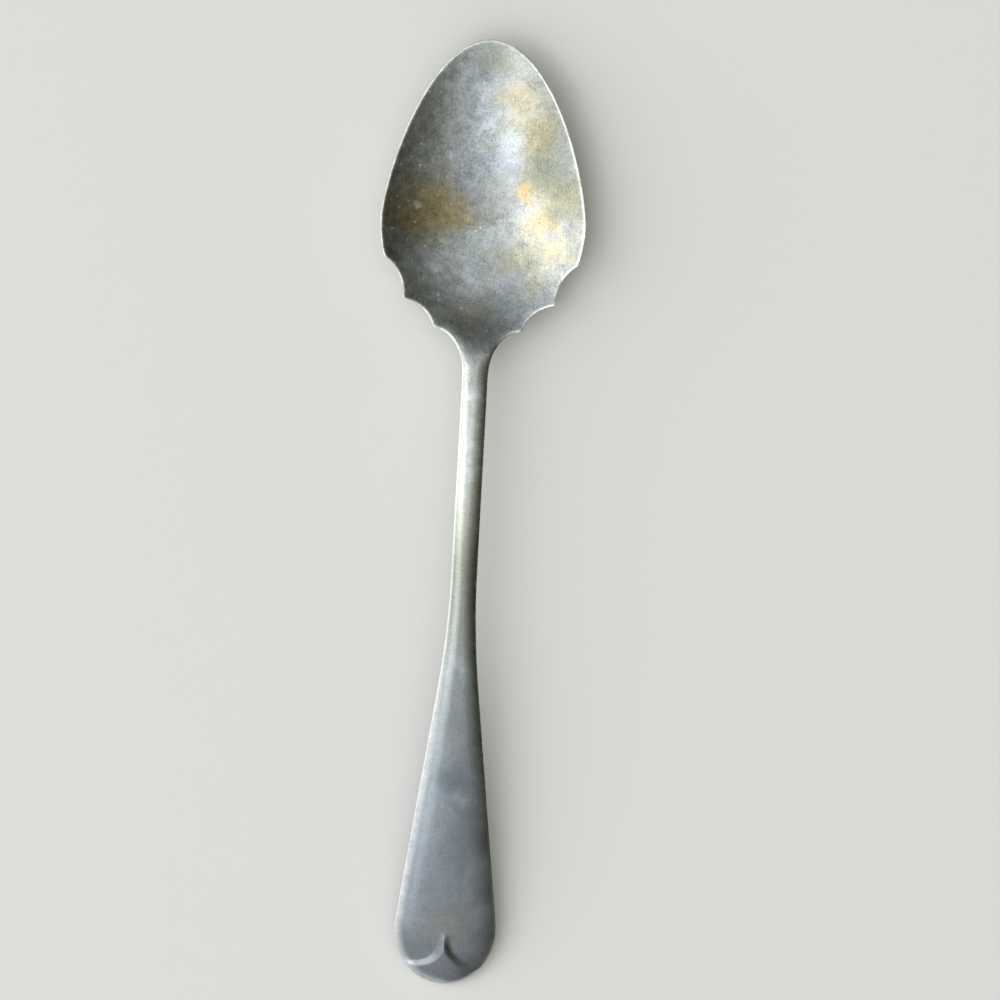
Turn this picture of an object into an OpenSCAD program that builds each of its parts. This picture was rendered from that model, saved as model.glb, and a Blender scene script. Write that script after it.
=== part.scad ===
// Sugar spoon: a pressed bowl with scalloped shoulders, scarfed and brazed to a forged handle.
// Millimetres. +Y runs to the bowl's tip, +Z is up, and the spoon rests on z = 0 at mid-length.

/* [Overall] */
// Length from the handle's end to the bowl's tip
spoon_l = 150; // [140:1:165]

/* [Bowl] */
// Width across the widest place
bowl_w = 32.6; // [28:0.1:37]
// Length from the widest place to the tip
tip_l = 29; // [25:0.5:33]
// Length from the widest place to the heel
heel_l = 18.9; // [16:0.1:21]
// Exponent of the tip's outline, where 2 is an ellipse and less is more pointed
tip_power = 1.42; // [1.3:0.02:2]
// Depth of the hollow below the rim
bowl_depth = 5.5; // [4.5:0.1:6.5]
// Thickness of the metal
bowl_t = 1.1; // [0.8:0.05:1.5]
// Depth worn flat where the bowl, and the handle's end, meet the table
wear_depth = 0.1; // [0.06:0.02:0.2]

/* [Scallops] */
// Angle round the heel from the widest place to the first cusp
first_cusp = 19; // [14:0.5:22]
// Angle from one cusp to the next
cusp_pitch = 22.8; // [20:0.2:25]
// Number of cusps on each shoulder
cusp_count = 3; // [2:1:3]
// Depth of a scallop between two cusps
scallop_depth = 1; // [0.5:0.1:1.4]
// Length over which the last scallop runs into the stem
neck_flare_l = 7.5; // [5:0.5:9]

/* [Handle] */
// Width of the stem
stem_w = 4.1; // [3.4:0.1:5]
// Thickness of the stem at its middle
stem_t = 2.4; // [2:0.1:3]
// Crown of the stem's front, and of its back
stem_crown = 0.65; // [0.2:0.05:0.7]
// Width of the blade across its widest place
blade_w = 16; // [13:0.1:18]
// Thickness of the blade at its middle
blade_t = 1.7; // [1.3:0.1:2.2]
// Fall of the blade's front along each edge
blade_slope_h = 0.3; // [0.1:0.05:0.5]
// Width of that fall
blade_slope_w = 4; // [2:0.1:5]
// Crown of the blade's front between its edges
blade_crown = 0.5; // [0:0.05:0.6]
// Length of the rounded end, from the blade's widest place
end_l = 9; // [7:0.5:11]
// Length of the taper, from the blade's widest place to the stem
taper_l = 47.5; // [40:0.5:54]
// Radius that eases the taper into the stem
waist_r = 150; // [100:5:180]
// Distance behind the heel where the stem begins to bend down into the bowl
neck_l = 5.5; // [4:0.5:7]
// Height of the stem's middle line where that bend begins
neck_h = 7.4; // [6.8:0.1:8]
// Rise of the stem on from the bend, in degrees
neck_rise = 6; // [4:0.5:9]
// Radius of the bend
neck_r = 15; // [13:0.5:18]
// Fall of the blade where its end begins to turn down, in degrees
end_fall = 12; // [8:0.5:16]
// Further drop of the rounded end, which is turned down
turn_h = 1; // [0.5:0.1:1.5]
// Width of the rounding along the edges
edge_r = 0.5; // [0.2:0.05:0.6]

/* [Pip] */
// Height of the raised lip at the blade's end
pip_h = 0.5; // [0.2:0.05:0.6]
// Radius of each of the two scoops that shape the lip
scoop_r = 3.3; // [2.9:0.1:3.8]
// Distance of a scoop's centre from the middle line
scoop_x = 4.3; // [4:0.1:5]
// Distance of the scoops' centres from the blade's end
scoop_l = 7.2; // [6.6:0.1:8.2]
// Width of the slope up to the lip
pip_slope = 1.5; // [0.8:0.1:1.6]

/* [Joint] */
// Distance of the joint's front edge behind the heel
seam_l = 10; // [8:0.5:14]
// Angle of the scarf to the spoon's length, in degrees
scarf_angle = 32; // [28:1:40]
// Thickness of the solder
braze_t = 0.1; // [0.06:0.02:0.2]
// Height of the drop, the tongue under the bowl's heel
drop_h = 0.5; // [0.3:0.05:0.7]
// Half-width of the drop
drop_w = 3.2; // [2.6:0.1:4]
// Length of the drop, on from the heel under the bowl
drop_l = 9; // [6:0.5:11]

/* [Hidden] */

// How much of an edge's thickness is left upright between its two roundings
bowl_land = 0.5;
handle_land = 0.85;
// Distance on from the heel where the bowl's metal begins to swell into the stem, and the length it takes
swell_on = 6;
swell_l = 11;
// How far rows of the surface lean towards the middle of the bowl, and of the end
bowl_lean = 0.5;
end_lean = 0.4;
// Points round a cross-section
ring_count = 48;

tip_y = spoon_l / 2;
wide_y = tip_y - tip_l;
heel_y = wide_y - heel_l;
neck_y = heel_y - neck_l;
seam_y = heel_y - seam_l;
end_y = -spoon_l / 2 + end_l;
scoop_y = -spoon_l / 2 + scoop_l;
waist_y = end_y + taper_l;
rim_h = bowl_depth + bowl_t - wear_depth;
// The end's rounded underside, tilted by its slope, reaches the depth of wear below the table
end_slope = tan(end_fall) + 2 * turn_h / end_l;
end_lift = edge_r * end_slope;
end_half_t = (blade_t - blade_slope_h - blade_crown) / 2;
end_h = handle_land * end_half_t + norm([end_lift, (1 - handle_land) * end_half_t]) - end_lift - wear_depth;

cusps = [for (i = [0 : cusp_count - 1]) heel_point(first_cusp + i * cusp_pitch)];
last_cusp = cusps[cusp_count - 1];
flare_y = last_cusp.y - neck_flare_l;

// The taper touches the rounded end at this angle round the end's ellipse
toward_waist = [stem_w / blade_w, taper_l / end_l];
touch = atan2(toward_waist.y, toward_waist.x) - acos(1 / norm(toward_waist));
touch_point = end_point(touch);
taper_angle = atan2(touch_point.x - stem_w / 2, waist_y - touch_point.y);
stem_y = waist_y + waist_r * tan(taper_angle / 2);

function heel_point(angle) = [bowl_w / 2 * cos(angle), wide_y - heel_l * sin(angle)];
function end_point(angle) = [blade_w / 2 * cos(angle), end_y + end_l * sin(angle)];

function mix(a, b, share) = a + (b - a) * share;
function ease(share) = let (s = min(1, max(0, share))) s * s * (3 - 2 * s);
// A cubic from height a with slope sa to height b with slope sb, over the length l
function cubic(a, sa, b, sb, l, s) =
    a * (1 + 2 * s) * (1 - s) ^ 2 + sa * l * s * (1 - s) ^ 2
    + b * s ^ 2 * (3 - 2 * s) - sb * l * s ^ 2 * (1 - s);

// Points on the arc from p to q that bulges to the left by sag, without the point q
function arc_points(p, q, sag, count) =
    let (
        chord = norm(q - p),
        along = (q - p) / chord,
        left = [-along.y, along.x],
        half = 2 * atan(2 * sag / chord),
        r = chord / 2 / sin(half)
    )
    [for (i = [0 : count - 1])
        let (a = half * (2 * i / count - 1))
        (p + q) / 2 + along * r * sin(a) + left * r * (cos(a) - cos(half))];

// The right-hand half of the outline, from the handle's end to the bowl's tip
end_steps = 14;
taper_steps = 18;
waist_steps = 6;
stem_steps = 12;
scallop_steps = 9;
shoulder_steps = 6;
tip_steps = 26;
outline = [
    for (i = [0 : end_steps - 1]) end_point(mix(-90, touch, i / end_steps)),
    for (i = [0 : taper_steps - 1])
        mix(touch_point, waist_point(taper_angle), i / taper_steps),
    for (i = [0 : waist_steps - 1]) waist_point(mix(taper_angle, 0, i / waist_steps)),
    for (i = [0 : stem_steps - 1]) [stem_w / 2, mix(stem_y, flare_y, i / stem_steps)],
    for (i = [0 : scallop_steps - 1])
        let (a = 90 * i / scallop_steps)
        [mix(last_cusp.x, stem_w / 2, cos(a)), last_cusp.y - neck_flare_l * (1 - sin(a))],
    for (c = [cusp_count - 1 : -1 : 1])
        each arc_points(cusps[c], cusps[c - 1], scallop_depth, scallop_steps),
    for (i = [0 : shoulder_steps - 1]) heel_point(first_cusp * (1 - i / shoulder_steps)),
    for (i = [0 : tip_steps])
        let (s = sin(90 * i / tip_steps))
        [bowl_w / 2 * sqrt(max(0, 1 - s ^ tip_power)), wide_y + tip_l * s]
];
function waist_point(a) =
    [stem_w / 2 + waist_r * (1 - cos(a)), stem_y - waist_r * sin(a)];

// Where on the middle line a row starts, that ends on the outline at y
function spine_y(y) =
    y < end_y ? mix(y, end_y, end_lean)
    : y < flare_y ? y
    : mix(y, wide_y, bowl_lean * ease((y - flare_y) / neck_flare_l));

// How much of the section at y is stem, and how much is blade
function stem_share(y) = ease((heel_y + swell_on - y) / swell_l);
function blade_share(y) = ease((stem_y - y) / (stem_y - end_y));
function front_slope_h(y) = mix(stem_crown * stem_share(y), blade_slope_h, blade_share(y));
function back_slope_h(y) = stem_crown * stem_share(y) * (1 - blade_share(y));
function front_crown(y) = blade_crown * blade_share(y);
function edge_t(y) =
    mix(mix(bowl_t, stem_t, stem_share(y)), blade_t, blade_share(y))
    - front_slope_h(y) - back_slope_h(y) - front_crown(y);

// Height of the bowl's inner surface: across it a parabola, and along it a cubic through heel and tip
hollow_b = (1 / tip_l ^ 2 - 1 / heel_l ^ 2) / (tip_l + heel_l);
hollow_a = 1 / heel_l ^ 2 + hollow_b * heel_l;
function hollow_h(x, y) =
    let (s = y - wide_y)
    rim_h - bowl_depth * (1 - hollow_a * s ^ 2 - hollow_b * s ^ 3 - (2 * x / bowl_w) ^ 2);

// Height of the handle's middle line, which bends down from the neck into the bowl's heel
handle_l = neck_y + spoon_l / 2;
function arch_h(y) =
    y > neck_y ? neck_h - (y - neck_y) * tan(neck_rise) - (y - neck_y) ^ 2 / (2 * neck_r)
    : cubic(neck_h, tan(neck_rise), end_h + turn_h, -tan(end_fall), handle_l, (neck_y - y) / handle_l)
        - turn_h * (max(0, end_y - y) / end_l) ^ 2;

function middle_h(x, y) = mix(hollow_h(x, y) - bowl_t / 2, arch_h(y), stem_share(y));

// The lip at the blade's end: what lies beyond two scoops, which open outwards, up to the point between them
function pip_share(x, y) =
    let (out = norm([min(0, abs(x) - scoop_x), y - scoop_y]) - scoop_r)
    ease(out / pip_slope) * ease((scoop_y + pip_slope - y) / pip_slope / 2);

// The drop under the heel, an oval tongue with sloping sides
function drop_share(x, y) = ease(2 * (1 - norm([x / drop_w, (y - heel_y) / drop_l])));

// One point of the section that ends at p on the outline, at an angle round it
function skin_point(p, angle) =
    let (
        reach = abs(cos(angle)),
        start = spine_y(p.y),
        x = p.x * cos(angle),
        y = mix(start, p.y, reach),
        blade = blade_share(p.y),
        inside = (1 - reach) * norm([p.x, p.y - start]),
        land = mix(bowl_land, handle_land, stem_share(p.y)),
        edge = reach == 1 ? 0 : mix(land, 1, sqrt(1 - (1 - min(1, inside / edge_r)) ^ 2)),
        slope = 1 - (1 - min(1, inside / mix(stem_w / 2, blade_slope_w, blade))) ^ mix(2, 3, blade),
        crown = front_crown(y) * (1 - reach ^ 2) + pip_h * pip_share(x, y) * blade,
        above = edge_t(y) / 2 + front_slope_h(y) * slope + crown,
        below = edge_t(y) / 2 + back_slope_h(y) * slope + drop_h * drop_share(x, y)
    )
    [x, y, middle_h(x, y) + edge * (sin(angle) >= 0 ? above : -below)];

// The spoon's skin from one y to another, as rings of points. At the spoon's own ends a ring is shut along
// the middle line, and where the skin stops short it is capped.
module spoon_body(from_y, to_y) {
    rows = [for (p = outline) if (p.y >= from_y && p.y <= to_y) p];
    last = len(rows) - 1;
    points = [for (p = rows, k = [0 : ring_count - 1]) skin_point(p, 360 * k / ring_count)];
    // A ring that is shut takes its left half's points from its right half
    function at(row, k) =
        let (
            n = k % ring_count,
            left = n > ring_count / 4 && n < ring_count * 3 / 4,
            mirrored = (ring_count * 3 / 2 - n) % ring_count
        )
        row * ring_count + (rows[row].x == 0 && left ? mirrored : n);
    faces = [
        for (row = [0 : last - 1], k = [0 : ring_count - 1]) each [
            [at(row, k), at(row + 1, k + 1), at(row + 1, k)],
            [at(row, k), at(row, k + 1), at(row + 1, k + 1)]
        ],
        if (rows[0].x > 0) [for (k = [ring_count - 1 : -1 : 0]) at(0, k)],
        if (rows[last].x > 0) [for (k = [0 : ring_count - 1]) at(last, k)]
    ];
    polyhedron(points, faces);
}

// A block that fills all the space on one side of the scarf, from low to high above the joint's plane
far = 2 * spoon_l;
seam_h = arch_h(seam_y) + stem_t / 2;
module scarf_space(low, high) {
    translate([0, seam_y, seam_h])
        rotate([-scarf_angle, 0, 0])
            translate([-far / 2, -far / 2, low])
                cube([far, far, high - low]);
}

module below_table() {
    translate([-far / 2, -far / 2, -far])
        cube([far, far, far]);
}

module bowl() {
    color("silver")
        difference() {
            spoon_body(seam_y - swell_l, tip_y);
            scarf_space(-far, braze_t / 2);
            below_table();
        }
}

module handle() {
    color("lightsteelblue")
        difference() {
            spoon_body(-spoon_l / 2, wide_y);
            scarf_space(-braze_t / 2, far);
            below_table();
        }
}

module braze_seam() {
    color("goldenrod")
        intersection() {
            spoon_body(seam_y - swell_l, wide_y);
            scarf_space(-braze_t / 2, braze_t / 2);
        }
}

bowl();
handle();
braze_seam();
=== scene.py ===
# Sugar spoon: a pressed bowl with scalloped shoulders, scarfed and brazed to a forged handle, silver
# plated and worn. Sizes are in millimetres and angles in degrees until a mesh is placed, in metres.
from math import acos, atan, atan2, cos, degrees, hypot, pi, radians, sin, sqrt, tan

import bmesh
import bpy
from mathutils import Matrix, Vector


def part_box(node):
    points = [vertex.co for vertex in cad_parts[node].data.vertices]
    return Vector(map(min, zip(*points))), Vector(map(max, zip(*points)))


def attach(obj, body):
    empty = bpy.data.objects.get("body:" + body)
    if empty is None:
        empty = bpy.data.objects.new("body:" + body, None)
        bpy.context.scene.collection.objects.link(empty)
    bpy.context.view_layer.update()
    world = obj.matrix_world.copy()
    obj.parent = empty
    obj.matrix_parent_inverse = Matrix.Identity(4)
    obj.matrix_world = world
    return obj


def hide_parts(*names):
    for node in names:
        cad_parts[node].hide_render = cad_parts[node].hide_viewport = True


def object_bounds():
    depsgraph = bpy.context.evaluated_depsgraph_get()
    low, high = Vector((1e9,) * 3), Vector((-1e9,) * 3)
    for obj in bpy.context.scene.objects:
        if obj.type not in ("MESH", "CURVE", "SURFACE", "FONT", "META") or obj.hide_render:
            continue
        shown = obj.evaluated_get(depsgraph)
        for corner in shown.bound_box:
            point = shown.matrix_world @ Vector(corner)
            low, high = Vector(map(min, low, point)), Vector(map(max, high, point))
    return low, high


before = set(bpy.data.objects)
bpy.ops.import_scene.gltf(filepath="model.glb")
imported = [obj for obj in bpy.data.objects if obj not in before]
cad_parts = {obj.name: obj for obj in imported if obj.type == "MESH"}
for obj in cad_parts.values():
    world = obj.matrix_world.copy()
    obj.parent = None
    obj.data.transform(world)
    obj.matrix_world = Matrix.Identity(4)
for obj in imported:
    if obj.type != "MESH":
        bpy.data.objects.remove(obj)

MM = 0.001
cad_low, cad_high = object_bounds()
bowl_low, bowl_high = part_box("bowl")
handle_low, handle_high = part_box("handle")

# Sizes measured on the solids. Those that follow, down to the joint, are what the solids were made to.
SPOON_L = (cad_high.y - cad_low.y) / MM
BOWL_W = (bowl_high.x - bowl_low.x) / MM
BLADE_W = (handle_high.x - handle_low.x) / MM

# Bowl
TIP_L = 29
HEEL_L = 18.9
# At a power of 2 the bowl's front would be half an ellipse, and less makes it more pointed
TIP_POWER = 1.42
BOWL_DEPTH = 5.5
BOWL_T = 1.1
WEAR_DEPTH = 0.1

# Scallops
FIRST_CUSP = 19
CUSP_PITCH = 22.8
CUSP_COUNT = 3
SCALLOP_DEPTH = 1
NECK_FLARE_L = 7.5

# Handle
STEM_W = 4.1
STEM_T = 2.4
STEM_CROWN = 0.65
BLADE_T = 1.7
BLADE_SLOPE_H = 0.3
BLADE_SLOPE_W = 4
BLADE_CROWN = 0.5
END_L = 9
TAPER_L = 47.5
WAIST_R = 150
NECK_L = 5.5
NECK_H = 7.4
NECK_RISE = 6
NECK_R = 15
END_FALL = 12
TURN_H = 1

# Raised lip at the blade's end
PIP_H = 0.5
SCOOP_R = 3.3
SCOOP_X = 4.3
SCOOP_L = 7.2
PIP_SLOPE = 1.5

# Joint
SEAM_L = 10
SCARF_ANGLE = 32
BRAZE_T = 0.1
DROP_H = 0.5
DROP_W = 3.2
DROP_L = 9

# How the skin is drawn over these sizes: the radius of its edges and the share of them that stays square,
# where in the bowl the swell into the stem starts and how long it is, and how far its rows slant
EDGE_R = 0.5
BOWL_LAND = 0.5
HANDLE_LAND = 0.85
SWELL_ON = 6
SWELL_L = 11
BOWL_LEAN = 0.5
END_LEAN = 0.4

# Points round a section, and cuts made twice over along the blank
RING = 160
LENGTH_CUTS = 20
ROWS = (LENGTH_CUTS + 1) ** 2 + 1

# Rows on each stretch of the outline: the tip takes the rest
END_ROWS = 60
TAPER_ROWS = 60
WAIST_ROWS = 20
STEM_ROWS = 40
FLARE_ROWS = 34
SCALLOP_ROWS = 36
SHOULDER_ROWS = 24
# Passes of averaging that blunt the cusps, as a polishing mop does
CUSP_PASSES = 4
# How far in the edges of the bowl and the stem are rubbed bright, and how far in a painted highlight reaches
# on the blade's left edge, the side facing the light
BOWL_WORN_W = 0.7
STEM_WORN_W = 0.5
LEFT_HIGHLIGHT_W = 1.5
# Faces that meet at more than this angle have a sharp edge between them
SHARP_ANGLE = 25
# Points this close are one point
SAME_POINT = 0.0001


def mix(a, b, share):
    return a + (b - a) * share


def ease(share):
    share = min(1, max(0, share))
    return share * share * (3 - 2 * share)


def cos_deg(angle):
    return cos(radians(angle))


def sin_deg(angle):
    return sin(radians(angle))


def tan_deg(angle):
    return tan(radians(angle))


TIP_Y = SPOON_L / 2
WIDE_Y = TIP_Y - TIP_L
HEEL_Y = WIDE_Y - HEEL_L
NECK_Y = HEEL_Y - NECK_L
SEAM_Y = HEEL_Y - SEAM_L
END_Y = -SPOON_L / 2 + END_L
SCOOP_Y = -SPOON_L / 2 + SCOOP_L
WAIST_Y = END_Y + TAPER_L
RIM_H = BOWL_DEPTH + BOWL_T - WEAR_DEPTH
HANDLE_L = NECK_Y + SPOON_L / 2
# The end's rounded underside, tilted by its slope, reaches the depth of wear below the resting plane
END_SLOPE = tan_deg(END_FALL) + 2 * TURN_H / END_L
END_LIFT = EDGE_R * END_SLOPE
END_HALF_T = (BLADE_T - BLADE_SLOPE_H - BLADE_CROWN) / 2
END_ROUND = hypot(END_LIFT, (1 - HANDLE_LAND) * END_HALF_T)
END_H = HANDLE_LAND * END_HALF_T + END_ROUND - END_LIFT - WEAR_DEPTH


def heel_point(angle):
    return BOWL_W / 2 * cos_deg(angle), WIDE_Y - HEEL_L * sin_deg(angle)


def end_point(angle):
    return BLADE_W / 2 * cos_deg(angle), END_Y + END_L * sin_deg(angle)


CUSPS = [heel_point(FIRST_CUSP + i * CUSP_PITCH) for i in range(CUSP_COUNT)]
FLARE_Y = CUSPS[-1][1] - NECK_FLARE_L
# The taper touches the rounded end at this angle round the end's ellipse
TOWARD_WAIST = Vector((STEM_W / BLADE_W, TAPER_L / END_L))
TOUCH = degrees(atan2(TOWARD_WAIST.y, TOWARD_WAIST.x) - acos(1 / TOWARD_WAIST.length))
TOUCH_X, TOUCH_Y = end_point(TOUCH)
TAPER_ANGLE = degrees(atan2(TOUCH_X - STEM_W / 2, WAIST_Y - TOUCH_Y))
STEM_Y = WAIST_Y + WAIST_R * tan_deg(TAPER_ANGLE / 2)


def waist_point(angle):
    return STEM_W / 2 + WAIST_R * (1 - cos_deg(angle)), STEM_Y - WAIST_R * sin_deg(angle)


def scallop_points(start, end):
    """Points on the arc from one cusp to the next, which bulges into the bowl, without its last point."""
    p, q = Vector(start), Vector(end)
    chord = (q - p).length
    along = (q - p) / chord
    left = Vector((-along.y, along.x))
    half = 2 * atan(2 * SCALLOP_DEPTH / chord)
    radius = chord / 2 / sin(half)
    points = []
    for i in range(SCALLOP_ROWS):
        turn = half * (2 * i / SCALLOP_ROWS - 1)
        place = (p + q) / 2 + along * radius * sin(turn) + left * radius * (cos(turn) - cos(half))
        points.append((place.x, place.y))
    return points


def blunt_cusps(points):
    """The outline with each scalloped point drawn towards its neighbours."""
    blunted = list(points)
    for i in range(1, len(points) - 1):
        x, y = points[i]
        if FLARE_Y < y < WIDE_Y:
            (before_x, before_y), (after_x, after_y) = points[i - 1], points[i + 1]
            blunted[i] = (before_x + 2 * x + after_x) / 4, (before_y + 2 * y + after_y) / 4
    return blunted


def right_outline():
    """The right-hand half of the outline, one point a row, from the handle's end to the bowl's tip."""
    waist_x, waist_y = waist_point(TAPER_ANGLE)
    last_x, last_y = CUSPS[-1]
    points = [end_point(mix(-90, TOUCH, i / END_ROWS)) for i in range(END_ROWS)]
    for i in range(TAPER_ROWS):
        points.append((mix(TOUCH_X, waist_x, i / TAPER_ROWS), mix(TOUCH_Y, waist_y, i / TAPER_ROWS)))
    for i in range(WAIST_ROWS):
        points.append(waist_point(mix(TAPER_ANGLE, 0, i / WAIST_ROWS)))
    for i in range(STEM_ROWS):
        points.append((STEM_W / 2, mix(STEM_Y, FLARE_Y, i / STEM_ROWS)))
    for i in range(FLARE_ROWS):
        angle = 90 * i / FLARE_ROWS
        points.append((mix(last_x, STEM_W / 2, cos_deg(angle)), last_y - NECK_FLARE_L * (1 - sin_deg(angle))))
    for c in range(CUSP_COUNT - 1, 0, -1):
        points += scallop_points(CUSPS[c], CUSPS[c - 1])
    for i in range(SHOULDER_ROWS):
        points.append(heel_point(FIRST_CUSP * (1 - i / SHOULDER_ROWS)))
    tip_rows = ROWS - 1 - len(points)
    for i in range(tip_rows + 1):
        along = sin_deg(90 * i / tip_rows)
        points.append((BOWL_W / 2 * sqrt(max(0, 1 - along ** TIP_POWER)), WIDE_Y + TIP_L * along))
    for _ in range(CUSP_PASSES):
        points = blunt_cusps(points)
    return points


def spine_y(y):
    """Where on the middle line a row starts, that ends on the outline at y."""
    if y < END_Y:
        return mix(y, END_Y, END_LEAN)
    if y < FLARE_Y:
        return y
    return mix(y, WIDE_Y, BOWL_LEAN * ease((y - FLARE_Y) / NECK_FLARE_L))


def stem_share(y):
    return ease((HEEL_Y + SWELL_ON - y) / SWELL_L)


def blade_share(y):
    return ease((STEM_Y - y) / (STEM_Y - END_Y))


def front_slope_h(y):
    return mix(STEM_CROWN * stem_share(y), BLADE_SLOPE_H, blade_share(y))


def back_slope_h(y):
    return STEM_CROWN * stem_share(y) * (1 - blade_share(y))


def front_crown(y):
    return BLADE_CROWN * blade_share(y)


def edge_t(y):
    middle_t = mix(mix(BOWL_T, STEM_T, stem_share(y)), BLADE_T, blade_share(y))
    return middle_t - front_slope_h(y) - back_slope_h(y) - front_crown(y)


# The hollow is a parabola across, and along it a cubic through the heel and the tip
HOLLOW_B = (1 / TIP_L ** 2 - 1 / HEEL_L ** 2) / (TIP_L + HEEL_L)
HOLLOW_A = 1 / HEEL_L ** 2 + HOLLOW_B * HEEL_L


def hollow_h(x, y):
    s = y - WIDE_Y
    return RIM_H - BOWL_DEPTH * (1 - HOLLOW_A * s ** 2 - HOLLOW_B * s ** 3 - (2 * x / BOWL_W) ** 2)


def arch_h(y):
    """Height of the handle's middle line, which bends down from the neck into the bowl's heel."""
    if y > NECK_Y:
        return NECK_H - (y - NECK_Y) * tan_deg(NECK_RISE) - (y - NECK_Y) ** 2 / (2 * NECK_R)
    # A cubic that leaves the neck and reaches the end at their heights and slopes, and then turns down
    s = (NECK_Y - y) / HANDLE_L
    high, low = NECK_H, END_H + TURN_H
    rise = tan_deg(NECK_RISE) * HANDLE_L
    fall = tan_deg(END_FALL) * HANDLE_L
    arch = high * (1 + 2 * s) * (1 - s) ** 2 + rise * s * (1 - s) ** 2
    arch += low * s ** 2 * (3 - 2 * s) + fall * s ** 2 * (1 - s)
    return arch - TURN_H * (max(0, END_Y - y) / END_L) ** 2


def pip_share(x, y):
    """The lip is what lies beyond two scoops, which open outwards, up to the point between them."""
    out = hypot(min(0, abs(x) - SCOOP_X), y - SCOOP_Y) - SCOOP_R
    return ease(out / PIP_SLOPE) * ease((SCOOP_Y + PIP_SLOPE - y) / PIP_SLOPE / 2)


def drop_share(x, y):
    return ease(2 * (1 - hypot(x / DROP_W, (y - HEEL_Y) / DROP_L)))


def depth_in(outline_point, angle):
    """How far in from the edge a point of a section lies."""
    outline_x, outline_y = outline_point
    return (1 - abs(cos_deg(angle))) * hypot(outline_x, outline_y - spine_y(outline_y))


def skin_point(outline_point, angle):
    """One point, in metres, of the section that ends at a point on the outline, at an angle round it."""
    outline_x, outline_y = outline_point
    reach = abs(cos_deg(angle))
    x = outline_x * cos_deg(angle)
    y = mix(spine_y(outline_y), outline_y, reach)
    blade = blade_share(outline_y)
    inside = depth_in(outline_point, angle)
    # The edge is square over its land, and from there it rounds over to the face
    land = mix(BOWL_LAND, HANDLE_LAND, stem_share(outline_y))
    edge = mix(land, 1, sqrt(1 - (1 - min(1, inside / EDGE_R)) ** 2)) if inside > SAME_POINT else 0
    # Across its slope the stem is a parabola, and the blade a cubic
    slope = 1 - (1 - min(1, inside / mix(STEM_W / 2, BLADE_SLOPE_W, blade))) ** mix(2, 3, blade)
    z = mix(hollow_h(x, y) - BOWL_T / 2, arch_h(y), stem_share(y))
    # The front takes the crown and the lip, and the back the drop
    if angle >= 0:
        crown = front_crown(y) * (1 - reach ** 2) + PIP_H * pip_share(x, y) * blade
        z += edge * (edge_t(y) / 2 + front_slope_h(y) * slope + crown)
    else:
        z -= edge * (edge_t(y) / 2 + back_slope_h(y) * slope + DROP_H * drop_share(x, y))
    return Vector((x, y, z)) * MM


def bright_edge_width(x, y):
    """How far in an edge is bright, at x across the row that ends at y: rubbed wear, and on the blade's left
    a painted highlight.
    """
    bright_w = mix(BOWL_WORN_W, STEM_WORN_W, stem_share(y))
    # A painted highlight carries the bright edge further in on the left, the side facing the light, from the
    # blade to the middle of the taper
    left = ease(0.5 - x / STEM_W)
    return mix(bright_w, LEFT_HIGHLIGHT_W, left * min(1, 2 * blade_share(y)))


def edit(piece):
    """Opens a piece for editing with all of it selected."""
    bpy.ops.object.select_all(action="DESELECT")
    piece.select_set(True)
    bpy.context.view_layer.objects.active = piece
    bpy.ops.object.mode_set(mode="EDIT")
    bpy.ops.mesh.select_all(action="SELECT")


def spoon_blank():
    """The whole spoon as one closed skin: an open tube, cut into rows and drawn out to the spoon's form."""
    bpy.ops.object.select_all(action="DESELECT")
    bpy.ops.mesh.primitive_cylinder_add(
        vertices=RING, radius=BOWL_W / 2 * MM, depth=SPOON_L * MM, end_fill_type="NOTHING"
    )
    blank = bpy.context.object
    blank.name = "spoon_blank"
    edit(blank)
    bpy.ops.mesh.select_mode(type="EDGE")
    for _ in range(2):
        mesh = bmesh.from_edit_mesh(blank.data)
        # Only the edges that run along the tube are cut
        for e in mesh.edges:
            e.select_set(e.verts[0].co.xy == e.verts[1].co.xy)
        bmesh.update_edit_mesh(blank.data)
        bpy.ops.mesh.subdivide(number_cuts=LENGTH_CUTS)
    outline = right_outline()
    mesh = bmesh.from_edit_mesh(blank.data)
    edge_wear_and_highlight = mesh.verts.layers.float.new("edge_wear_and_highlight")
    for v in mesh.verts:
        row = round((v.co.z / (SPOON_L * MM) + 0.5) * (ROWS - 1))
        angle = degrees(atan2(v.co.y, v.co.x))
        v.co = skin_point(outline[row], angle)
        bright_w = bright_edge_width(v.co.x / MM, outline[row][1])
        v[edge_wear_and_highlight] = max(0, 1 - depth_in(outline[row], angle) / bright_w)
    bmesh.update_edit_mesh(blank.data)
    bpy.ops.mesh.select_all(action="SELECT")
    bpy.ops.mesh.remove_doubles(threshold=SAME_POINT * MM)
    bpy.ops.mesh.normals_make_consistent(inside=False)
    bpy.ops.object.mode_set(mode="OBJECT")
    return blank


# The scarf's plane, with the bowl on the side that its normal points to
SEAM_POINT = Vector((0, SEAM_Y, arch_h(SEAM_Y) + STEM_T / 2)) * MM
SCARF_NORMAL = Vector((0, sin_deg(SCARF_ANGLE), cos_deg(SCARF_ANGLE)))
HALF_BRAZE = SCARF_NORMAL * BRAZE_T / 2 * MM
# What lies under the resting plane is worn away
RESTING_PLANE = (Vector((0, 0, 0)), Vector((0, 0, -1)))
CUTS = {
    "bowl": [(SEAM_POINT + HALF_BRAZE, -SCARF_NORMAL), RESTING_PLANE],
    "handle": [(SEAM_POINT - HALF_BRAZE, SCARF_NORMAL), RESTING_PLANE],
    "braze_seam": [(SEAM_POINT + HALF_BRAZE, SCARF_NORMAL), (SEAM_POINT - HALF_BRAZE, -SCARF_NORMAL)],
}


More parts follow.
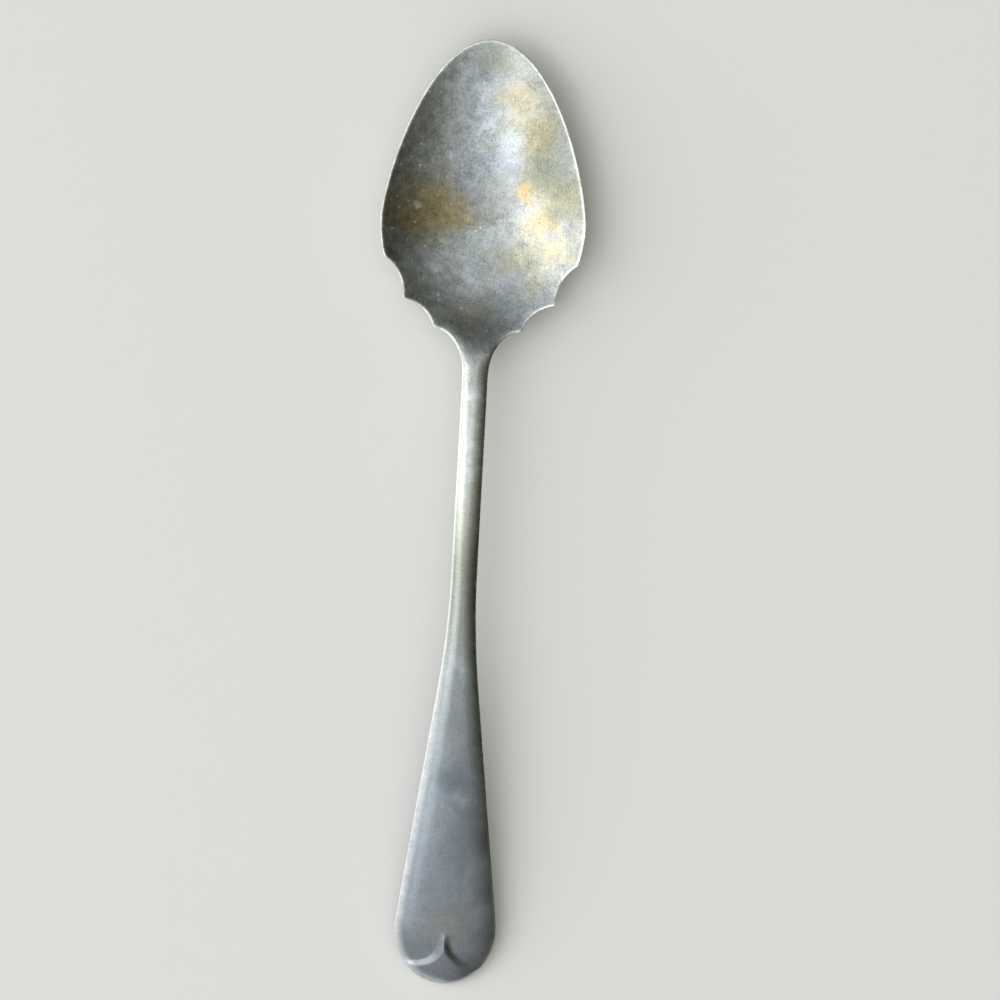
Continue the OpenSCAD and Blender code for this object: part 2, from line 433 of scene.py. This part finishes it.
def cut_piece(blank, node):
    """A copy of the blank, cut by planes, each of which takes off what its normal points to."""
    piece = blank.copy()
    piece.data = blank.data.copy()
    piece.name = "plated_" + node
    bpy.context.scene.collection.objects.link(piece)
    edit(piece)
    for place, normal in CUTS[node]:
        bpy.ops.mesh.select_all(action="SELECT")
        bpy.ops.mesh.bisect(
            plane_co=place, plane_no=normal, use_fill=True, clear_outer=True, threshold=SAME_POINT * MM
        )
        bpy.ops.mesh.mark_sharp()
    bpy.ops.object.mode_set(mode="OBJECT")
    bpy.ops.object.shade_smooth_by_angle(angle=radians(SHARP_ANGLE), keep_sharp_edges=True)
    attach(piece, "root")
    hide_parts(node)
    return piece


def linear(hex_colour):
    """An sRGB hex colour as linear RGBA."""
    shades = [int(hex_colour[i:i + 2], 16) / 255 for i in (1, 3, 5)]
    return [s / 12.92 if s <= 0.04045 else ((s + 0.055) / 1.055) ** 2.4 for s in shades] + [1]


def add(tree, kind, sockets=(), out=0, **settings):
    """Adds a node, sets its settings, and gives each socket a value or a link. Returns one output."""
    made = tree.nodes.new("ShaderNode" + kind)
    for name, value in settings.items():
        setattr(made, name, value)
    for name, value in dict(sockets).items():
        if isinstance(value, bpy.types.NodeSocket):
            tree.links.new(value, made.inputs[name])
        else:
            made.inputs[name].default_value = value
    return made.outputs[out] if made.outputs else made


def new_tree(owner):
    """An empty node tree for a material or a world."""
    owner.use_nodes = True
    owner.node_tree.nodes.clear()
    return owner.node_tree


# Numbers of the sockets that a colour Mix node mixes, and its settings, with the number of its result
MIX_A = 6
MIX_B = 7
COLOUR_MIX = {"out": 2, "data_type": "RGBA"}
# Setting of a Map Range node that eases in and out
EASED = {"interpolation_type": "SMOOTHSTEP"}

# Shades of the plate along the spoon: y in millimetres, and the colour there. The pale shade on the stem at 4
# mm is partly a painted highlight on the stem's crown
PLATE_SHADES = [
    (-75, "#7b7f85"),
    (-40, "#7a8187"),
    (-22, "#8c918f"),
    (-8, "#8c8f83"),
    (4, "#bcbfb6"),
    (24, "#b0b4b0"),
    (36, "#b4babb"),
]

# Where the handle's even satin starts to give way to the bowl's tarnish, and where it has
SATIN_Y = 16
TARNISH_Y = 32

# Sizes of the plate's patterns: waves of a planished sheet, haze in patches a finger wide, mottling of a
# sugar grain and buffing streaks. The real grain and scratches are finer than can show, so they are drawn a
# quarter to a third of a millimetre wide.
WAVE_W = 8
WAVE_H = 0.1
HAZE_W = 10
MOTTLE_W = 1.8
STREAK_W = 0.3
STREAK_L = 2.5
GRAIN_W = 0.34
GRAIN_H = 0.006
SCRATCH_W = 0.25
SCRATCH_L = 4
# Angles that the scratches are turned from the spoon's length
SCRATCH_TURNS = (10, -26, 62)
# Gaps between specks of dried water, and between pits
SPECK_GAP = 1.3
PIT_GAP = 2.1

# Marks wander from their places by up to half these widths, on a pattern of this size
WANDER_W = 2.5
RAGGED_W = 5
SMUDGED_W = 2

# Colours of the plate
# Clean bluish plate, also used as painted light on the bowl's left half and in its bright band
CLEAN_AND_LIT = "#cdd5e0"
# A painted highlight on the stem's crown
PAINTED_HIGHLIGHT = "#e2e6e8"
BRIGHT = "#e4e6e2"
LIMY = "#c0c0d2"
HAZY = "#94967f"
STRAW = "#c6be9c"
OLIVE = "#7e806a"
# Smoky tarnish, and painted shade down the blade's right edge
SMOKY_AND_SHADE = "#555a5c"
TIDE = "#54585c"
PITTED = "#5c5d55"
BRASSY = "#c0a970"
GOLDEN = "#cdb67a"

# Stains with a tide mark at their edge: x, y and radius in millimetres, how wide the stain is inside its
# edge, how strong it and its tide mark are, and its colour
STAINS = [
    (-8.4, 62.8, 19.3, 9.0, 0.45, 0.5, "#948c69"),
    (4.8, 41.2, 15.7, 8.0, 0.45, 0.5, "#8d949c"),
    (0.9, 52.0, 5.6, 5.0, 0.35, 0.5, "#8a90a0"),
    (12.8, 56.5, 8.0, 7.0, 0.4, 0.2, "#a89f7c"),
]
STAIN_EDGE_W = 0.7
TIDE_W = 0.4

# Patches where the plate is clean, tarnished straw, olive or smoky, or worn to golden or brassy metal, and
# patches of painted light and shade: x, y and radius in millimetres, how strong, and the colour
PATCHES = [
    # Clean bluish plate; on the bowl's left half, which faces the dark side of the room, these are made
    # stronger as painted light
    (-1.3, 62.0, 4.5, 0.7, CLEAN_AND_LIT),
    (-5.0, 67.5, 4.0, 0.8, CLEAN_AND_LIT),
    (-2.7, 65.3, 2.5, 0.6, CLEAN_AND_LIT),
    (-3.6, 59.0, 3.0, 0.6, CLEAN_AND_LIT),
    (-6.8, 62.0, 3.0, 0.5, CLEAN_AND_LIT),
    (-10.5, 39.5, 3.0, 0.7, CLEAN_AND_LIT),
    (-7.0, 41.0, 5.0, 0.8, CLEAN_AND_LIT),
    (-6.0, 54.5, 5.0, 0.6, CLEAN_AND_LIT),
    # Painted highlight in the bowl's bright band
    (4.0, 57.5, 2.5, 0.7, CLEAN_AND_LIT),
    (-5.4, 35.8, 2.5, 0.4, CLEAN_AND_LIT),
    (11.0, 38.5, 2.5, 0.4, CLEAN_AND_LIT),
    # Painted highlight along the stem's crown
    (0.3, 18.0, 2.2, 0.8, PAINTED_HIGHLIGHT),
    (0.4, 14.0, 2.2, 0.8, PAINTED_HIGHLIGHT),
    (0.4, 10.0, 2.2, 0.8, PAINTED_HIGHLIGHT),
    (0.2, 6.5, 1.8, 0.5, PAINTED_HIGHLIGHT),
    (0.9, -45.3, 1.8, 0.15, CLEAN_AND_LIT),
    (1.0, -25.0, 2.5, 0.3, CLEAN_AND_LIT),
    (10.0, 43.5, 7.0, 0.85, STRAW),
    (6.5, 63.0, 5.0, 0.6, STRAW),
    (12.5, 51.0, 5.0, 0.8, STRAW),
    (8.5, 36.8, 2.5, 0.5, STRAW),
    (1.0, 72.0, 4.0, 0.7, OLIVE),
    (-14.0, 41.0, 5.0, 0.4, OLIVE),
    (10.8, 58.0, 6.5, 0.75, OLIVE),
    (8.8, 53.3, 3.0, 0.7, OLIVE),
    (11.2, 47.6, 1.8, 0.7, OLIVE),
    (13.0, 50.5, 5.0, 0.6, OLIVE),
    (4.0, 37.0, 5.0, 0.4, OLIVE),
    (1.5, 42.0, 4.5, 0.3, OLIVE),
    (-1.0, 31.0, 5.0, 0.6, OLIVE),
    (0.5, -65.0, 4.0, 0.5, OLIVE),
    (2.0, 33.5, 2.8, 0.35, SMOKY_AND_SHADE),
    (4.2, 31.8, 2.0, 0.4, SMOKY_AND_SHADE),
    (0.8, -42.0, 2.6, 0.5, SMOKY_AND_SHADE),
    (-1.6, -42.5, 2.0, 0.45, SMOKY_AND_SHADE),
    (-0.8, -33.0, 1.8, 0.35, SMOKY_AND_SHADE),
    (1.8, -53.0, 3.6, 0.3, SMOKY_AND_SHADE),
    # Painted shade down the blade's right edge, the side turned from the light
    (2.8, -48.5, 3.0, 0.4, SMOKY_AND_SHADE),
    (6.2, -52.0, 3.0, 0.8, SMOKY_AND_SHADE),
    (6.6, -59.5, 3.0, 0.8, SMOKY_AND_SHADE),
    (6.8, -67.0, 3.0, 0.8, SMOKY_AND_SHADE),
    (4.0, -73.0, 2.5, 0.7, SMOKY_AND_SHADE),
    (-9.0, 48.0, 6.0, 1.0, GOLDEN),
    (-4.2, 47.0, 2.6, 0.65, BRASSY),
    (6.2, 52.5, 1.3, 0.9, BRASSY),
    (6.7, 50.8, 1.4, 0.8, BRASSY),
    (9.0, 46.7, 2.4, 0.8, BRASSY),
    (4.2, 66.0, 3.0, 0.6, BRASSY),
    (8.2, 60.0, 3.0, 0.4, BRASSY),
    (10.8, 41.0, 3.2, 0.3, BRASSY),
    (5.0, 40.0, 3.0, 0.4, BRASSY),
    (-1.0, 31.0, 4.0, 0.25, BRASSY),
]
# A patch fades out at this many radii
PATCH_REACH = 1.4

# Dried water spots: x, y and radius in millimetres
WATER_SPOTS = [
    (-5.7, 56.7, 0.95),
    (-10.8, 48.5, 0.8),
    (-4.0, 59.7, 0.6),
    (-7.0, 38.6, 1.1),
    (-1.8, 37.6, 1.3),
    (3.3, 36.6, 1.7),
    (1.0, 42.8, 0.9),
    (10.8, 44.6, 1.2),
    (13.4, 46.0, 1.5),
    (5.4, 37.4, 1.0),
    (-3.0, 35.0, 0.9),
]
# A spot fades out at this many radii
SPOT_REACH = 1.2

# Bright nicks: x, y and radius in millimetres
NICKS = [(-1.1, 44.8, 0.16), (-0.45, 45.3, 0.18), (0.15, 45.6, 0.15), (-6.4, 33.5, 0.2)]
# Spots and nicks are even within this many radii
EVEN_R = 0.5


def fill_ramp(ramp, shades, low, high):
    """Sets a colour ramp's stops from places between low and high, each with its colour."""
    for _ in shades[2:]:
        ramp.elements.new(1)
    for stop, (place, shade) in zip(ramp.elements, shades):
        stop.position = (place - low) / (high - low)
        stop.color = linear(shade)


def hazy_colour(tree, place, along, bowl_share):
    """The plate's colour along the spoon, palest on the stem where part of it is a painted highlight, under a
    haze that is strongest in the bowl.
    """
    low, high = PLATE_SHADES[0][0], PLATE_SHADES[-1][0]
    height = add(tree, "MapRange", {"Value": along, "From Min": low * MM, "From Max": high * MM})
    colour = add(tree, "ValToRGB", {"Fac": height})
    fill_ramp(colour.node.color_ramp, PLATE_SHADES, low, high)
    patina = add(
        tree, "TexNoise", {"Vector": place, "Scale": 1 / (HAZE_W * MM), "Detail": 6, "Roughness": 0.62}
    )
    haze = add(
        tree, "MapRange", {"Value": patina, "From Min": 0.44, "From Max": 0.62, "To Max": 0.25}, **EASED
    )
    reach = add(tree, "MapRange", {"Value": bowl_share, "To Min": 0.3, "To Max": 1})
    haze = add(tree, "Math", {0: haze, 1: reach}, operation="MULTIPLY")
    return add(tree, "Mix", {0: haze, MIX_A: colour, MIX_B: linear(HAZY)}, **COLOUR_MIX)


def wandered(tree, place, wander, width):
    """Places seen from above that wander by up to half a width, so that marks there have ragged edges."""
    moved = add(tree, "VectorMath", {0: wander, "Scale": width * MM}, operation="SCALE")
    moved = add(tree, "VectorMath", {0: place, 1: moved}, operation="ADD")
    return add(tree, "VectorMath", {0: moved, 1: (1, 1, 0)}, operation="MULTIPLY")


def stained(tree, colour, ragged, broken):
    """The colour under its stains, which are crisp at the edge and fade inwards, and their tide marks."""
    for x, y, radius, width, strength, tide_strength, shade in STAINS:
        away = add(tree, "VectorMath", {0: ragged, 1: (x * MM, y * MM, 0)}, operation="DISTANCE", out="Value")
        rim = add(
            tree,
            "MapRange",
            {"Value": away, "From Min": radius * MM, "From Max": (radius - STAIN_EDGE_W) * MM},
            **EASED,
        )
        fade = add(
            tree,
            "MapRange",
            {"Value": away, "From Min": (radius - width) * MM, "From Max": radius * MM, "To Max": strength},
        )
        stain = add(tree, "Math", {0: rim, 1: fade}, operation="MULTIPLY")
        colour = add(tree, "Mix", {0: stain, MIX_A: colour, MIX_B: linear(shade)}, **COLOUR_MIX)
        off = add(tree, "Math", {0: away, 1: radius * MM}, operation="SUBTRACT")
        off = add(tree, "Math", {0: off}, operation="ABSOLUTE")
        tide = add(
            tree,
            "MapRange",
            {"Value": off, "From Min": TIDE_W * MM, "From Max": 0, "To Max": tide_strength},
        )
        tide = add(tree, "Math", {0: tide, 1: broken}, operation="MULTIPLY")
        colour = add(tree, "Mix", {0: tide, MIX_A: colour, MIX_B: linear(TIDE)}, **COLOUR_MIX)
    return colour


def patched(tree, colour, ragged, clouded):
    """The colour under its patches, each strongest in its middle."""
    for x, y, radius, strength, shade in PATCHES:
        away = add(tree, "VectorMath", {0: ragged, 1: (x * MM, y * MM, 0)}, operation="DISTANCE", out="Value")
        worn = add(
            tree,
            "MapRange",
            {"Value": away, "From Min": radius * MM * PATCH_REACH, "From Max": 0, "To Max": strength},
            **EASED,
        )
        worn = add(tree, "Math", {0: worn, 1: clouded}, operation="MULTIPLY")
        colour = add(tree, "Mix", {0: worn, MIX_A: colour, MIX_B: linear(shade)}, **COLOUR_MIX)
    return colour


def water_film(tree, place, smudged, broken, bowl_share):
    """How much dried water lies on the plate: specks in drifts over the bowl, and spots."""
    dots = add(tree, "TexVoronoi", {"Vector": place, "Scale": 1 / (SPECK_GAP * MM)}, out="Distance")
    film = add(tree, "MapRange", {"Value": dots, "From Min": 0.2, "From Max": 0.1, "To Max": 0.5})
    film = add(tree, "Math", {0: film, 1: broken}, operation="MULTIPLY")
    film = add(tree, "Math", {0: film, 1: bowl_share}, operation="MULTIPLY")
    for x, y, radius in WATER_SPOTS:
        away = add(
            tree, "VectorMath", {0: smudged, 1: (x * MM, y * MM, 0)}, operation="DISTANCE", out="Value"
        )
        spot = add(
            tree,
            "MapRange",
            {
                "Value": away,
                "From Min": radius * MM * SPOT_REACH,
                "From Max": radius * MM * EVEN_R,
                "To Max": 0.38,
            },
            **EASED,
        )
        film = add(tree, "Math", {0: film, 1: spot}, operation="MAXIMUM")
    return film


def rubbed_and_lit_edges(tree, flat, bowl_share):
    """How far the plate is rubbed to bright silver at edges and nicks, with a painted highlight along the
    blade's left edge.
    """
    edge = add(tree, "Attribute", attribute_name="edge_wear_and_highlight", out="Fac")
    bright = add(tree, "MapRange", {"Value": edge, "To Max": 0.9}, **EASED)
    reach = add(tree, "MapRange", {"Value": bowl_share, "To Min": 0.65, "To Max": 1})
    bright = add(tree, "Math", {0: bright, 1: reach}, operation="MULTIPLY")
    for x, y, radius in NICKS:
        away = add(tree, "VectorMath", {0: flat, 1: (x * MM, y * MM, 0)}, operation="DISTANCE", out="Value")
        nick = add(
            tree, "MapRange", {"Value": away, "From Min": radius * MM, "From Max": radius * MM * EVEN_R}
        )
        bright = add(tree, "Math", {0: bright, 1: nick}, operation="MAXIMUM")
    return bright


def scratched(tree, shade, flat, bowl_share):
    """The shade with fine dark scratches across the bowl."""
    for turn in SCRATCH_TURNS:
        turned = add(
            tree,
            "Mapping",
            {"Vector": flat, "Rotation": (0, 0, radians(turn)), "Scale": (1, SCRATCH_L / SCRATCH_W, 1)},
            vector_type="TEXTURE",
        )
        hairs = add(tree, "TexNoise", {"Vector": turned, "Scale": 1 / (SCRATCH_W * MM), "Detail": 0})
        hairs = add(tree, "MapRange", {"Value": hairs, "From Min": 0.69, "From Max": 0.78, "To Max": -0.15})
        shade = add(tree, "Math", {0: hairs, 1: bowl_share, 2: shade}, operation="MULTIPLY_ADD")
    return shade


def worn_silver_plate():
    """Silver plate over nickel silver, buffed to a satin by years of washing: a soft, grainy sheen with olive
    tarnish, brassy patches where the plate is thin, dried water marks, pits, scratches and bright edges, and
    painted light: highlights on the stem's crown and the blade's left edge, painted light on the bowl's left
    half, and painted shade down the blade's right edge."""
    material = bpy.data.materials.new("worn_silver_plate")
    tree = new_tree(material)
    place = add(tree, "TexCoord", out="Object")
    flat = add(tree, "VectorMath", {0: place, 1: (1, 1, 0)}, operation="MULTIPLY")
    along = add(tree, "SeparateXYZ", {"Vector": place}, out="Y")
    bowl_share = add(
        tree, "MapRange", {"Value": along, "From Min": SATIN_Y * MM, "From Max": TARNISH_Y * MM}, **EASED
    )

    waves = add(tree, "TexNoise", {"Vector": place, "Scale": 1 / (WAVE_W * MM), "Detail": 2})
    mottle = add(
        tree, "TexNoise", {"Vector": place, "Scale": 1 / (MOTTLE_W * MM), "Detail": 5, "Roughness": 0.7}
    )
    lengthwise = add(tree, "Mapping", {"Vector": place, "Scale": (1, STREAK_W / STREAK_L, 1)})
    streaks = add(tree, "TexNoise", {"Vector": lengthwise, "Scale": 1 / (STREAK_W * MM), "Detail": 2})
    across = add(tree, "Mapping", {"Vector": place, "Scale": (STREAK_W / STREAK_L, 1, 1)})
    strokes = add(tree, "TexNoise", {"Vector": across, "Scale": 1 / (STREAK_W * MM), "Detail": 2})
    grain = add(
        tree, "TexNoise", {"Vector": place, "Scale": 1 / (GRAIN_W * MM), "Detail": 3, "Roughness": 0.75}
    )

    # Mottling breaks up tide marks and specks, and clouds the patches
    broken = add(
        tree,
        "MapRange",
        {"Value": mottle, "From Min": 0.36, "From Max": 0.62, "To Min": 0.25, "To Max": 1},
        **EASED,
    )
    clouded = add(tree, "MapRange", {"Value": broken, "To Min": 0.4, "To Max": 0.86})
    wander = add(tree, "TexNoise", {"Vector": place, "Scale": 1 / (WANDER_W * MM), "Detail": 5}, out="Color")
    wander = add(tree, "VectorMath", {0: wander, 1: (0.5, 0.5, 0.5)}, operation="SUBTRACT")
    ragged = wandered(tree, place, wander, RAGGED_W)
    smudged = wandered(tree, place, wander, SMUDGED_W)

    colour = hazy_colour(tree, place, along, bowl_share)
    colour = stained(tree, colour, ragged, broken)
    colour = patched(tree, colour, ragged, clouded)

    # Dried water is matt, so it isn't metal
    film = water_film(tree, place, smudged, broken, bowl_share)
    colour = add(tree, "Mix", {0: film, MIX_A: colour, MIX_B: linear(LIMY)}, **COLOUR_MIX)
    metal = add(tree, "Math", {0: 1, 1: film}, operation="SUBTRACT")

    dots = add(tree, "TexVoronoi", {"Vector": place, "Scale": 1 / (PIT_GAP * MM)}, out="Distance")
    pit = add(tree, "MapRange", {"Value": dots, "From Min": 0.1, "From Max": 0.05, "To Max": 0.5})
    pit = add(tree, "Math", {0: pit, 1: bowl_share}, operation="MULTIPLY")
    colour = add(tree, "Mix", {0: pit, MIX_A: colour, MIX_B: linear(PITTED)}, **COLOUR_MIX)

    # Rubbed edges and nicks are whitened, and so is a painted highlight along the blade's left edge
    bright = rubbed_and_lit_edges(tree, flat, bowl_share)
    colour = add(tree, "Mix", {0: bright, MIX_A: colour, MIX_B: linear(BRIGHT)}, **COLOUR_MIX)

    # Grain, streaks and mottling shade the plate a little, and the handle less than the bowl
    grainy, streaky, mottled, brushed = [
        add(
            tree,
            "MapRange",
            {"Value": pattern, "From Min": 0.3, "From Max": 0.7, "To Min": -depth, "To Max": depth},
        )
        for pattern, depth in ((grain, 0.26), (streaks, 0.06), (mottle, 0.24), (strokes, 0.03))
    ]
    texture = add(tree, "Math", {0: grainy, 1: streaky}, operation="ADD")
    texture = add(tree, "Math", {0: texture, 1: mottled}, operation="ADD")
    reach = add(tree, "MapRange", {"Value": bowl_share, "To Min": 0.42, "To Max": 1})
    shade = add(tree, "Math", {0: texture, 1: reach, 2: 1}, operation="MULTIPLY_ADD")
    # The handle alone is brushed across
    handle_share = add(tree, "MapRange", {"Value": bowl_share, "To Min": 1, "To Max": 0})
    shade = add(tree, "Math", {0: brushed, 1: handle_share, 2: shade}, operation="MULTIPLY_ADD")
    shade = scratched(tree, shade, flat, bowl_share)
    colour = add(tree, "VectorMath", {0: colour, "Scale": shade}, operation="SCALE")

    roughness = add(tree, "MapRange", {"Value": bowl_share, "To Min": 0.26, "To Max": 0.31})
    roughness = add(tree, "Math", {0: mottled, 1: 0.23, 2: roughness}, operation="MULTIPLY_ADD")

    relief = add(tree, "Math", {0: grain, 1: streaks}, operation="ADD")
    bump = add(tree, "Bump", {"Strength": 1, "Distance": GRAIN_H * MM, "Height": relief})
    bump = add(tree, "Bump", {"Strength": 1, "Distance": WAVE_H * MM, "Height": waves, "Normal": bump})
    shader = add(
        tree,
        "BsdfPrincipled",
        {"Base Color": colour, "Metallic": metal, "Roughness": roughness, "Normal": bump},
    )
    add(tree, "OutputMaterial", {"Surface": shader})
    return material


def pale_floor():
    """A plain matt pale board."""
    material = bpy.data.materials.new("matt_board")
    tree = new_tree(material)
    shader = add(tree, "BsdfPrincipled", {"Base Color": linear("#eceae6"), "Roughness": 0.9})
    add(tree, "OutputMaterial", {"Surface": shader})
    return material


# Pieces
blank = spoon_blank()
plate = worn_silver_plate()
for node, slot in (("bowl", "bowl_plate"), ("handle", "handle_plate"), ("braze_seam", "silver_solder")):
    piece = cut_piece(blank, node)
    piece.data.materials.append(plate)
bpy.data.objects.remove(blank)

# Floor, in metres
FLOOR_W = 4
bpy.ops.mesh.primitive_plane_add(size=FLOOR_W)
floor = bpy.context.object
floor.name = "floor"
floor.data.materials.append(pale_floor())

# Light, in metres: a long softbox overhead that slants away to the left, in a room that is pale to the left
# and dark to the right and beyond the tip
SOFTBOX_H = 0.8
SOFTBOX_X = -0.66
SOFTBOX_Y = 0.055
SOFTBOX_L = 1.25
SOFTBOX_W = 0.3
SOFTBOX_TURN = -37
SOFTBOX_RADIANCE = 1.7
softbox = bpy.data.lights.new("softbox", "AREA")
softbox.shape = "RECTANGLE"
softbox.size = SOFTBOX_L
softbox.size_y = SOFTBOX_W
softbox.energy = SOFTBOX_RADIANCE * pi * SOFTBOX_L * SOFTBOX_W
lamp = bpy.data.objects.new("softbox", softbox)
lamp.location = (SOFTBOX_X, SOFTBOX_Y, SOFTBOX_H)
lamp.rotation_euler = (0, 0, radians(SOFTBOX_TURN))
lamp.visible_camera = False
bpy.context.scene.collection.objects.link(lamp)

# How pale the room is from the left, -1, to the right, 1
ROOM_SHADES = [
    (-1, "#ffffff"),
    (-0.85, "#d6d8d9"),
    (-0.6, "#bfc2c4"),
    (-0.3, "#bbbfc1"),
    (0, "#b9bcbd"),
    (0.1, "#aeb0af"),
    (0.25, "#90918d"),
    (0.5, "#74746b"),
    (0.65, "#5a5950"),
    (0.8, "#3a3932"),
    (1, "#252421"),
]
ROOM_STRENGTH = 2.2
world = bpy.data.worlds.new("room")
bpy.context.scene.world = world
room = new_tree(world)
direction = add(room, "TexCoord", out="Generated")
toward_x = add(room, "SeparateXYZ", {"Vector": direction}, out="X")
toward_y = add(room, "SeparateXYZ", {"Vector": direction}, out="Y")
side = add(room, "MapRange", {"Value": toward_x, "From Min": -1, "From Max": 1})
colour = add(room, "ValToRGB", {"Fac": side})
fill_ramp(colour.node.color_ramp, ROOM_SHADES, -1, 1)
# The room dims beyond the tip, and a little behind the end
ahead = add(
    room,
    "MapRange",
    {
        "Value": toward_y,
        "From Min": 0.3,
        "From Max": 1.1,
        "To Min": ROOM_STRENGTH,
        "To Max": 0.1 * ROOM_STRENGTH,
    },
    **EASED,
)
behind = add(
    room,
    "MapRange",
    {"Value": toward_y, "From Min": -1, "From Max": -0.2, "To Min": 0.75, "To Max": 1},
    **EASED,
)
strength = add(room, "Math", {0: ahead, 1: behind}, operation="MULTIPLY")
background = add(room, "Background", {"Color": colour, "Strength": strength})
add(room, "OutputWorld", {"Surface": background})

# Camera, in metres: straight above and turned a little. The picture is VIEW_W wide at VIEW_LEVEL.
CAMERA_X = 0.00501
CAMERA_Y = 0.00225
CAMERA_FAR = 1.2
CAMERA_TURN = 3.12
VIEW_W = 0.1586
VIEW_LEVEL = 0.004
camera = bpy.data.cameras.new("camera")
camera.lens = camera.sensor_width * CAMERA_FAR / VIEW_W
eye = bpy.data.objects.new("camera", camera)
eye.location = (CAMERA_X, CAMERA_Y, CAMERA_FAR + VIEW_LEVEL)
eye.rotation_euler = (0, 0, radians(CAMERA_TURN))
bpy.context.scene.collection.objects.link(eye)
bpy.context.scene.camera = eye
bpy.context.scene.view_settings.view_transform = "Standard"
